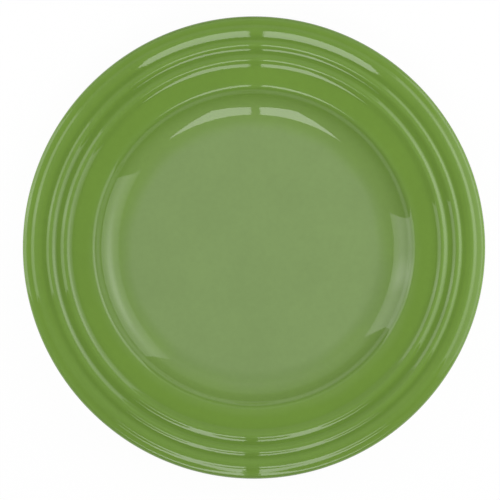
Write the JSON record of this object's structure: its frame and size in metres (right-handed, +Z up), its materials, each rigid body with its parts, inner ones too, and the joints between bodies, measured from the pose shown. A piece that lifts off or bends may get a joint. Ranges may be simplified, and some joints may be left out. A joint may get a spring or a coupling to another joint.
{
  "type": "dinner plate",
  "caption": "Round rimmed dinner plate with a coved well, a plain band, concentric raised rings, a rounded lip and a bare foot ring, glazed green.",
  "frame": {"origin": "on the table, under the centre of the plate", "axes": "+Z up along the plate's axis of revolution, from the foot ring towards the well; X and Y are alike"},
  "size_m": [0.27, 0.27, 0.0246],
  "materials": {
    "green_glaze": "polished",
    "bare_stoneware": "matte"
  },
  "bodies": {
    "root": {"stoneware_body": "bare_stoneware", "face_glaze": "green_glaze", "base_glaze": "green_glaze"}
  },
  "joints": []
}
